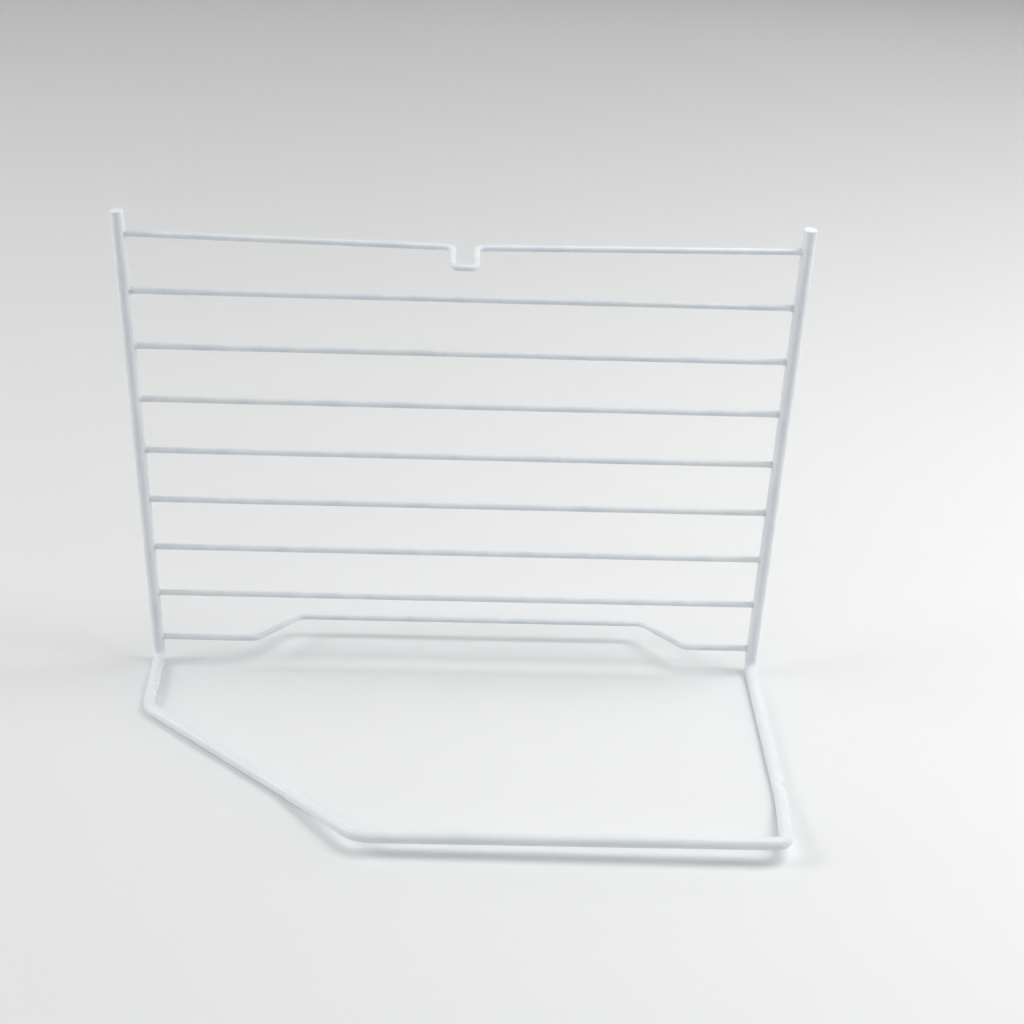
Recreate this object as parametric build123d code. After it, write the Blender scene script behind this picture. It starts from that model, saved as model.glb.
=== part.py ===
"""Freestanding wire grid rack: one bent rod frame and nine cross wires welded between its uprights.

Millimetres, +Z up. The grid of cross wires stands upright at the back and faces -Y, and the floor
loop reaches forward from its foot. The origin is on the floor, under the middle of the whole rack.
"""
import os

from build123d import *

# rod frame
ROD_R = 3.0                    # coated rod, 6 mm across
UPRIGHT_SPACING = 306.0        # between the centre lines of the two uprights
UPRIGHT_TOP = 246.0            # height of the cut ends
FRONT_LEFT_REACH = 138.0       # grid plane to the centre of the front rod, at its left end
FRONT_RIGHT_REACH = 140.0      # and at its right end
FRONT_LEFT_HEIGHT = 9.3        # the front rod is turned up off the floor
FRONT_RIGHT_HEIGHT = 11.0      # and a little more at its right end
TURN_UP_START = 102.0          # distance in front of the grid where the turned-up part starts
LEFT_SIDE_LENGTH = 42.3        # short left side, from the grid plane to the slanted rod
LEFT_SIDE_LEAN = 1.2           # it leans in by this much on the way
SLANT_MIDDLE_X = 75.0          # where the slanted rod starts to turn up, from the left upright
SLANT_END_X = 110.0            # where the slanted rod meets the front rod, from the left upright
RIGHT_SIDE_LEAN = 1.0          # the right side leans out by this much where it turns up
FRONT_RIGHT_INSET = 3.3        # and leans back in, to this far inside the right upright
HEEL_BEND_R = 6.0
LEFT_CORNER_BEND_R = 10.0
FRONT_LEFT_BEND_R = 18.0
TURN_UP_BEND_R = 60.0
FRONT_RIGHT_BEND_R = 5.0
END_EDGE_R = 0.4               # broken edge of each cut end

# cross wires
WIRE_R = 1.5                   # coated wire, 3 mm across
WIRE_COUNT = 9
WIRE_PITCH = 27.5
BOTTOM_WIRE_HEIGHT = 15.3

# loop in the middle of the top wire, which points forward
TOP_LOOP_WIDTH = 10.4          # between the centre lines of its two legs
TOP_LOOP_REACH = 22.5
TOP_LOOP_BEND_R = 3.5
TOP_WIRE_BOW = 3.2             # the wire bows this far forward at the loop
TOP_WIRE_SAG = 1.1             # and this far down

# stretch of the bottom wire that is set back behind the grid
SETBACK_DEPTH = 24.5
SETBACK_DROP = 3.3
SETBACK_START_X = 50.0         # from the left upright, where the wire leaves the grid plane
SETBACK_END_X = 270.5          # where it comes back to the grid plane
SETBACK_LEG_X = 20.0           # how far along the wire each slanted leg runs
SETBACK_BEND_R = 6.0

# weld at each wire end
WELD_R = 2.3                   # at the rod
WELD_LIP = 0.15                # how far the weld's thin end stands out from the wire
WELD_LENGTH = 1.6              # along the wire, from the side of the rod
WELD_SEAT = 1.2                # how far the weld wraps back round the rod

REAR_LIMIT = SETBACK_DEPTH + WIRE_R
FRONT_LIMIT = FRONT_RIGHT_REACH + ROD_R
GRID_Y = (FRONT_LIMIT - REAR_LIMIT) / 2
LEFT_X = -(UPRIGHT_SPACING + RIGHT_SIDE_LEAN) / 2


def place(x_from_left, y_from_grid, z):
    """Turn a distance from the left upright and from the grid plane into a point of the model."""
    return Vector(LEFT_X + x_from_left, GRID_Y + y_from_grid, z)


def bent_bar(points, bend_radii, radius):
    """A round bar along straight runs joined by tangent bends."""
    path = FilletPolyline(*points, radius=bend_radii)
    start = Plane(origin=path @ 0, z_dir=path % 0)
    return sweep(start * Circle(radius), path=path)


def upright_cylinder(x_from_left):
    """The space that one upright takes, used to fit the wire ends and welds against it."""
    middle = place(x_from_left, 0, UPRIGHT_TOP / 2)
    return Pos(middle.X, middle.Y, middle.Z) * Cylinder(ROD_R, UPRIGHT_TOP)


def frame_rod():
    """The whole frame: left upright, floor loop and right upright in one bent rod."""
    front_right_x = UPRIGHT_SPACING - FRONT_RIGHT_INSET
    points = [
        place(0, 0, UPRIGHT_TOP),
        place(0, 0, ROD_R),
        place(LEFT_SIDE_LEAN, -LEFT_SIDE_LENGTH, ROD_R),
        place(SLANT_MIDDLE_X, -TURN_UP_START, ROD_R),
        place(SLANT_END_X, -FRONT_LEFT_REACH, FRONT_LEFT_HEIGHT),
        place(front_right_x, -FRONT_RIGHT_REACH, FRONT_RIGHT_HEIGHT),
        place(UPRIGHT_SPACING + RIGHT_SIDE_LEAN, -TURN_UP_START, ROD_R),
        place(UPRIGHT_SPACING, 0, ROD_R),
        place(UPRIGHT_SPACING, 0, UPRIGHT_TOP),
    ]
    bend_radii = [
        HEEL_BEND_R,
        LEFT_CORNER_BEND_R,
        TURN_UP_BEND_R,
        FRONT_LEFT_BEND_R,
        FRONT_RIGHT_BEND_R,
        TURN_UP_BEND_R,
        HEEL_BEND_R,
    ]
    rod = bent_bar(points, bend_radii, ROD_R)
    cut_ends = rod.faces().filter_by(GeomType.PLANE).sort_by(Axis.Z)[-2:]
    return fillet([edge for face in cut_ends for edge in face.edges()], END_EDGE_R)


def wire_height(number):
    """Height of a cross wire, counted from 1 at the top."""
    return BOTTOM_WIRE_HEIGHT + (WIRE_COUNT - number) * WIRE_PITCH


def wire_points(number):
    """Centre line of a cross wire from upright to upright, with the bend radii that it needs."""
    z = wire_height(number)
    start = place(0, 0, z)
    end = place(UPRIGHT_SPACING, 0, z)
    if number == 1:
        middle = UPRIGHT_SPACING / 2
        half = TOP_LOOP_WIDTH / 2
        foot_y = -TOP_WIRE_BOW
        tip_y = foot_y - TOP_LOOP_REACH
        loop_z = z - TOP_WIRE_SAG
        loop = [
            place(middle - half, foot_y, loop_z),
            place(middle - half, tip_y, loop_z),
            place(middle + half, tip_y, loop_z),
            place(middle + half, foot_y, loop_z),
        ]
        return [start, *loop, end], [TOP_LOOP_BEND_R] * len(loop)
    if number == WIRE_COUNT:
        back_z = z - SETBACK_DROP
        setback = [
            place(SETBACK_START_X, 0, z),
            place(SETBACK_START_X + SETBACK_LEG_X, SETBACK_DEPTH, back_z),
            place(SETBACK_END_X - SETBACK_LEG_X, SETBACK_DEPTH, back_z),
            place(SETBACK_END_X, 0, z),
        ]
        return [start, *setback, end], [SETBACK_BEND_R] * len(setback)
    return [start, end], []


def cross_wire(number):
    """A cross wire whose ends are shaped to the round sides of the uprights."""
    points, bend_radii = wire_points(number)
    if bend_radii:
        wire = bent_bar(points, bend_radii, WIRE_R)
    else:
        path = Line(*points)
        wire = sweep(Plane(origin=path @ 0, z_dir=path % 0) * Circle(WIRE_R), path=path)
    wire -= upright_cylinder(0)
    wire -= upright_cylinder(UPRIGHT_SPACING)
    return wire.solids().sort_by(SortBy.VOLUME)[-1]


def weld(number, x_from_left, wire):
    """The ring of weld metal and coating round a wire end, against the upright at x_from_left."""
    points = wire_points(number)[0]
    inward = 1 if x_from_left == 0 else -1
    end, towards = (points[0], points[1]) if inward == 1 else (points[-1], points[-2])
    along = (towards - end).normalized()
    base = Plane(origin=end + along * (ROD_R - WELD_SEAT), z_dir=along)
    length = WELD_SEAT + WELD_LENGTH
    ring = Cone(WELD_R, WIRE_R + WELD_LIP, length, align=(Align.CENTER, Align.CENTER, Align.MIN))
    ring = base * ring
    ring -= upright_cylinder(x_from_left)
    ring -= wire
    return ring.solids().sort_by(SortBy.VOLUME)[-1]


def wire_name(number):
    """Node name of a cross wire."""
    if number == 1:
        return "top_wire"
    if number == WIRE_COUNT:
        return "bottom_wire"
    return f"cross_wire_{number}"


def main():
    parts = {"frame_rod": frame_rod()}
    for number in range(1, WIRE_COUNT + 1):
        wire = cross_wire(number)
        parts[wire_name(number)] = wire
        parts[f"left_weld_{number}"] = weld(number, 0, wire)
        parts[f"right_weld_{number}"] = weld(number, UPRIGHT_SPACING, wire)
    os.makedirs("parts", exist_ok=True)
    for name, solid in parts.items():
        solid.label = name
        export_step(solid, f"parts/{name}.step")


main()
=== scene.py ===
import math

import bpy
from mathutils import Matrix, Vector


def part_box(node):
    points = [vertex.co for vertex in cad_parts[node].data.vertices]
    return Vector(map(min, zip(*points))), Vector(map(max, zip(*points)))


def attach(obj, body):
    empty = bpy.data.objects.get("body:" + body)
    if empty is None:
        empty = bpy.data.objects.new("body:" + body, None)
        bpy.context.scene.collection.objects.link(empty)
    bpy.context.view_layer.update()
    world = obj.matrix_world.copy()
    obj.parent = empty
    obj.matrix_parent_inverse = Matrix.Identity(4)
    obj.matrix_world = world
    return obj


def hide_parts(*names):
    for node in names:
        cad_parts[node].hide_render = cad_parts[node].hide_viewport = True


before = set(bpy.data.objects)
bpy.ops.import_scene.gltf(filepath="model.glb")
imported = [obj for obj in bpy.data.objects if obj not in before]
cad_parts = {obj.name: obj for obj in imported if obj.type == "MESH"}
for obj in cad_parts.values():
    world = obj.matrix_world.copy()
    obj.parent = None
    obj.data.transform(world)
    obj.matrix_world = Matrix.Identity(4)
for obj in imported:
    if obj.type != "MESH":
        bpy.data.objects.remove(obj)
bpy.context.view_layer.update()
print("frame loaded:", len(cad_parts), "nodes")

mm = 0.001

cameraSetup = {
    "place": (0.0023, -0.6195, 0.5157),
    "turn": (58.176, -1.994, -0.698),  # degrees, XYZ
    "lens": 57.28,
}


def makeCamera(setup):
    data = bpy.data.cameras.new("studioCamera")
    data.lens = setup["lens"]
    data.sensor_width = 36.0
    camera = bpy.data.objects.new("studioCamera", data)
    camera.location = setup["place"]
    camera.rotation_euler = [math.radians(a) for a in setup["turn"]]
    bpy.context.scene.collection.objects.link(camera)
    bpy.context.scene.camera = camera


makeCamera(cameraSetup)
print("camera set")


def linear(hexColour):
    parts = [int(hexColour[i:i + 2], 16) / 255 for i in (1, 3, 5)]
    return [c / 12.92 if c <= 0.04045 else ((c + 0.055) / 1.055) ** 2.4 for c in parts] + [1.0]


def addNode(tree, kind, settings=None, links=None):
    node = tree.nodes.new(kind)
    for key, value in (settings or {}).items():
        if hasattr(node, key) and key not in node.inputs:
            setattr(node, key, value)
        else:
            node.inputs[key].default_value = value
    for key, socket in (links or {}).items():
        tree.links.new(socket, node.inputs[key])
    return node


# Polyester powder coat, sprayed on steel rod and oven cured: a slightly blue white with a soft
# gloss. The faint orange peel breaks up each long highlight, and the film is thinner here and there,
# which gives the white its slow, cloudy change of tone.
rodCoat = {
    "white": "#F3F6F9",
    "thin": "#E9EFF3",
    "cloudWidth": 26.0 * mm,
    "peelWidth": 1.8 * mm,
    "peelDepth": 0.006 * mm,
    "roughness": (0.26, 0.34),
    "nibs": 0.15,             # how strongly the tiny specks under the coat stand up
    "nibSpacing": 5.0 * mm,
}

# The same powder on the thinner wire, which takes a thinner film with a finer peel.
wireCoat = {
    "white": "#EFF3F6",
    "thin": "#E2E9EE",
    "cloudWidth": 14.0 * mm,
    "peelWidth": 1.1 * mm,
    "peelDepth": 0.004 * mm,
    "roughness": (0.30, 0.44),
    "nibs": 0.3,
    "nibSpacing": 4.0 * mm,
}

# The same powder over the weld metal: it pools in the corner and shows the weld's small lumps.
weldCoat = {
    "white": "#EFF3F6",
    "thin": "#D3DBE1",
    "cloudWidth": 1.6 * mm,
    "peelWidth": 0.7 * mm,
    "peelDepth": 0.02 * mm,
    "roughness": (0.32, 0.52),
    "nibs": 0.6,
    "nibSpacing": 1.2 * mm,
}


# What the three coats share, because they are one powder.
powder = {
    "filmRange": (0.35, 0.7),  # part of the clouds over which the film goes from full to thin
    "glossRange": (0.3, 0.7),  # part of the clouds over which the roughness rises
    "speckSize": 0.06,         # of the spacing between specks
    "ior": 1.5,
}


def makePowderCoat(name, look):
    material = bpy.data.materials.new(name)
    material.use_nodes = True
    tree = material.node_tree
    shader = tree.nodes["Principled BSDF"]
    place = addNode(tree, "ShaderNodeTexCoord")
    clouds = addNode(tree, "ShaderNodeTexNoise",
                     {"Scale": 1 / look["cloudWidth"], "Detail": 3.0, "Roughness": 0.55},
                     {"Vector": place.outputs["Object"]})
    film = addNode(tree, "ShaderNodeMapRange",
                   {"From Min": powder["filmRange"][0], "From Max": powder["filmRange"][1],
                    "To Min": 0.0, "To Max": 1.0},
                   {"Value": clouds.outputs["Fac"]})
    colour = addNode(tree, "ShaderNodeMix", {"data_type": "RGBA"}, {"Factor": film.outputs["Result"]})
    colour.inputs[6].default_value = linear(look["white"])
    colour.inputs[7].default_value = linear(look["thin"])
    tree.links.new(colour.outputs[2], shader.inputs["Base Color"])
    peel = addNode(tree, "ShaderNodeTexNoise",
                   {"Scale": 1 / look["peelWidth"], "Detail": 0.0},
                   {"Vector": place.outputs["Object"]})
    specks = addNode(tree, "ShaderNodeTexVoronoi",
                     {"Scale": 1 / look["nibSpacing"], "Randomness": 1.0},
                     {"Vector": place.outputs["Object"]})
    nibs = addNode(tree, "ShaderNodeMapRange",
                   {"From Min": 0.0, "From Max": powder["speckSize"],
                    "To Min": look["nibs"], "To Max": 0.0},
                   {"Value": specks.outputs["Distance"]})
    height = addNode(tree, "ShaderNodeMath", {"operation": "ADD"})
    tree.links.new(peel.outputs["Fac"], height.inputs[0])
    tree.links.new(nibs.outputs["Result"], height.inputs[1])
    bump = addNode(tree, "ShaderNodeBump", {"Strength": 1.0, "Distance": look["peelDepth"]},
                   {"Height": height.outputs["Value"]})
    tree.links.new(bump.outputs["Normal"], shader.inputs["Normal"])
    gloss = addNode(tree, "ShaderNodeMapRange",
                    {"From Min": powder["glossRange"][0], "From Max": powder["glossRange"][1],
                     "To Min": look["roughness"][0], "To Max": look["roughness"][1]},
                    {"Value": clouds.outputs["Fac"]})
    tree.links.new(gloss.outputs["Result"], shader.inputs["Roughness"])
    shader.inputs["IOR"].default_value = powder["ior"]
    return material


coats = {
    "coated_rod": makePowderCoat("polyesterPowderCoatOnRod", rodCoat),
    "coated_wire": makePowderCoat("polyesterPowderCoatOnWire", wireCoat),
    "coated_weld": makePowderCoat("polyesterPowderCoatOnWeld", weldCoat),
}
for name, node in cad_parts.items():
    slot = "coated_wire"
    if name == "frame_rod":
        slot = "coated_rod"
    if "weld" in name:
        slot = "coated_weld"
    node.data.materials.clear()
    node.data.materials.append(coats[slot])
print("powder coat on", len(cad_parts), "nodes")

# One weld is a short collar of metal and coating between a wire's end and the round side of the rod.
# Each ring is its distance from the rod's centre line, its radius, and how closely it follows the
# round side of the rod.
weldBead = {
    "rings": [                # in mm
        (1.90, 1.30, 0.0),    # hidden in the rod
        (2.95, 2.10, 1.0),
        (3.25, 1.86, 0.65),
        (3.65, 1.69, 0.35),
        (4.15, 1.58, 0.1),
        (4.60, 1.51, 0.0),
        (4.90, 1.36, 0.0),    # hidden in the wire
    ],
    "sides": 20,
    "seatRadius": 2.93 * mm,  # just under the side of the rod
    "seatHeight": 14 * mm,
    "seatSides": 96,
    "lumpHeight": 0.16 * mm,
    "lumpWidth": 1.3 * mm,
    "uprights": {"left": -153.5 * mm, "right": 152.5 * mm},
    "rows": 9,
}


def makeBead(look):
    rings = look["rings"]
    bpy.ops.object.select_all(action="DESELECT")
    bpy.ops.mesh.primitive_cylinder_add(vertices=look["seatSides"], radius=look["seatRadius"],
                                        depth=look["seatHeight"])
    seat = bpy.context.object
    bpy.ops.mesh.primitive_circle_add(vertices=look["sides"], radius=rings[0][1] * mm, fill_type="NGON",
                                      location=(rings[0][0] * mm, 0, 0),
                                      rotation=(0, math.radians(90), 0))
    bead = bpy.context.object
    bpy.ops.object.transform_apply(location=True, rotation=True, scale=True)
    bpy.ops.object.mode_set(mode="EDIT")
    for last, ring in zip(rings, rings[1:]):
        step = (ring[0] - last[0]) * mm
        grow = ring[1] / last[1]
        bpy.ops.mesh.extrude_region_move(TRANSFORM_OT_translate={"value": (step, 0, 0)})
        bpy.ops.transform.resize(value=(1, grow, grow), center_override=(ring[0] * mm, 0, 0))
    bpy.ops.mesh.select_all(action="SELECT")
    bpy.ops.mesh.normals_make_consistent(inside=False)
    bpy.ops.object.mode_set(mode="OBJECT")
    follow = bead.vertex_groups.new(name="follow")
    for vertex in bead.data.vertices:
        ring = min(rings, key=lambda ring: abs(ring[0] * mm - vertex.co.x))
        follow.add([vertex.index], ring[2], "REPLACE")
    wrap = bead.modifiers.new("followRod", "SHRINKWRAP")
    wrap.target = seat
    wrap.wrap_method = "PROJECT"
    wrap.use_project_x = True
    wrap.use_positive_direction = False
    wrap.use_negative_direction = True
    wrap.vertex_group = follow.name
    bpy.context.view_layer.objects.active = bead
    bpy.ops.object.modifier_apply(modifier=wrap.name)
    rounded = bead.modifiers.new("rounded", "SUBSURF")
    rounded.levels = 2
    rounded.render_levels = 2
    bpy.ops.object.modifier_apply(modifier=rounded.name)
    bpy.ops.object.shade_smooth()
    bead.vertex_groups.clear()
    bpy.data.objects.remove(seat)
    return bead


def placeBead(pattern, side, number, look):
    node = side + "_weld_" + str(number)
    low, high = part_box(node)
    bead = pattern.copy()
    bead.data = pattern.data.copy()
    bead.name = side + "WeldBead" + str(number)
    bead.data.name = bead.name
    bpy.context.scene.collection.objects.link(bead)
    bpy.ops.object.select_all(action="DESELECT")
    bead.select_set(True)
    bpy.context.view_layer.objects.active = bead
    bead.rotation_euler = (0, 0, 0 if side == "left" else math.pi)    # points along the wire
    bead.location = (look["uprights"][side], (low[1] + high[1]) / 2, (low[2] + high[2]) / 2)
    bpy.ops.object.transform_apply(location=True, rotation=True, scale=True)
    lumps = bpy.data.textures.new(bead.name + "Lumps", "CLOUDS")
    lumps.noise_scale = look["lumpWidth"]
    lumps.noise_depth = 1
    uneven = bead.modifiers.new("uneven", "DISPLACE")
    uneven.texture = lumps
    uneven.texture_coords = "LOCAL"
    uneven.mid_level = 0.5
    uneven.strength = look["lumpHeight"]
    bpy.ops.object.modifier_apply(modifier=uneven.name)
    bead.data.materials.append(coats["coated_weld"])
    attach(bead, "root")
    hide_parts(node)


beadPattern = makeBead(weldBead)
for side in weldBead["uprights"]:
    for number in range(1, weldBead["rows"] + 1):
        placeBead(beadPattern, side, number, weldBead)
bpy.data.objects.remove(beadPattern)
print("weld beads placed:", len(weldBead["uprights"]) * weldBead["rows"])

# A sheet of matt vinyl that the rack stands on and that curves up far behind it. Its dull surface
# gives the eye soft shadows and no reflection.
sweep = {
    "colour": "#F0F0F0",
    "roughness": 0.65,
    "width": 8.0,
    "front": -3.0,
    "bendStart": 1.8,     # the floor starts to curve up here
    "bendRadius": 0.7,
    "wallHeight": 2.2,
    "bendSteps": 24,
    "lip": 0.01,          # a narrow flat strip that keeps the shading of the flats level
}


def makeSweep(look):
    bpy.ops.object.select_all(action="DESELECT")
    depth = look["bendStart"] - look["front"]
    bpy.ops.mesh.primitive_plane_add(size=1, location=(0, look["front"] + depth / 2, 0))
    floor = bpy.context.object
    floor.name = "studioSweep"
    floor.data.transform(Matrix.Diagonal((look["width"], depth, 1, 1)))
    floor.data.transform(Matrix.Translation(floor.location))
    floor.location = (0, 0, 0)
    bpy.ops.object.mode_set(mode="EDIT")
    bpy.ops.mesh.select_all(action="DESELECT")
    bpy.ops.object.mode_set(mode="OBJECT")
    for edge in floor.data.edges:
        ends = [floor.data.vertices[v].co.y for v in edge.vertices]
        edge.select = min(ends) > look["bendStart"] - 1 * mm
    bpy.ops.object.mode_set(mode="EDIT")
    bpy.ops.mesh.select_mode(type="EDGE")
    flatLip = {"value": (0, look["lip"], 0)}
    bpy.ops.mesh.extrude_region_move(TRANSFORM_OT_translate=flatLip)
    bpy.ops.mesh.spin(steps=look["bendSteps"], angle=math.radians(90), axis=(1, 0, 0),
                      center=(0, look["bendStart"] + look["lip"], look["bendRadius"]))
    bpy.ops.mesh.extrude_region_move(TRANSFORM_OT_translate={"value": (0, 0, look["lip"])})
    bpy.ops.mesh.extrude_region_move(TRANSFORM_OT_translate={"value": (0, 0, look["wallHeight"])})
    bpy.ops.object.mode_set(mode="OBJECT")
    bpy.ops.object.shade_smooth()
    material = bpy.data.materials.new("matteVinylSweep")
    material.use_nodes = True
    shader = material.node_tree.nodes["Principled BSDF"]
    shader.inputs["Base Color"].default_value = linear(look["colour"])
    shader.inputs["Roughness"].default_value = look["roughness"]
    floor.data.materials.append(material)


# Lamps: big soft boxes round the rack, in metres and watts.
lamps = {
    "overheadBox": {"place": (0.64, 0.05, 1.0), "aim": (0.64, 0.05, 0.0),
                    "size": (0.9, 0.42), "watts": 6.9},
    "leftBox": {"place": (-1.15, 0.0, 1.0), "aim": (0.0, 0.0, 0.0),
                "size": (0.4, 0.5), "watts": 3.7},
    "leftPanel": {"place": (-1.45, 0.05, 0.75), "aim": (0.0, 0.1, 0.1),
                  "size": (1.4, 1.2), "watts": 7.0},
    "rightPanel": {"place": (1.3, 0.3, 0.45), "aim": (0.0, 0.1, 0.1),
                   "size": (1.2, 0.8), "watts": 4.2},
    "frontBox": {"place": (0.0, -1.2, 1.6), "aim": (0.0, 0.0, 0.0),
                 "size": (2.0, 1.2), "watts": 7.0},
    "backBox": {"place": (0.5, 1.7, 1.5), "aim": (0.5, 1.7, 0.0),
                "size": (2.0, 0.8), "watts": 21.0},
}


def makeLamp(name, look):
    data = bpy.data.lights.new(name, "AREA")
    data.shape = "RECTANGLE"
    data.size, data.size_y = look["size"]
    data.energy = look["watts"]
    lamp = bpy.data.objects.new(name, data)
    lamp.location = look["place"]
    lamp.rotation_euler = (Vector(look["aim"]) - Vector(look["place"])).to_track_quat("-Z", "Y").to_euler()
    bpy.context.scene.collection.objects.link(lamp)


makeSweep(sweep)
print("sweep made")
for name, look in lamps.items():
    makeLamp(name, look)
print("lamps made:", len(lamps))

# The room gives the even light that fills the shadows.
room = {"colour": "#F4F7FA", "strength": 0.16}


def makeRoom(look):
    world = bpy.data.worlds.new("paleRoom")
    world.use_nodes = True
    background = world.node_tree.nodes["Background"]
    background.inputs["Color"].default_value = linear(look["colour"])
    background.inputs["Strength"].default_value = look["strength"]
    bpy.context.scene.world = world


makeRoom(room)
print("room made")
bpy.context.scene.view_settings.view_transform = "Standard"
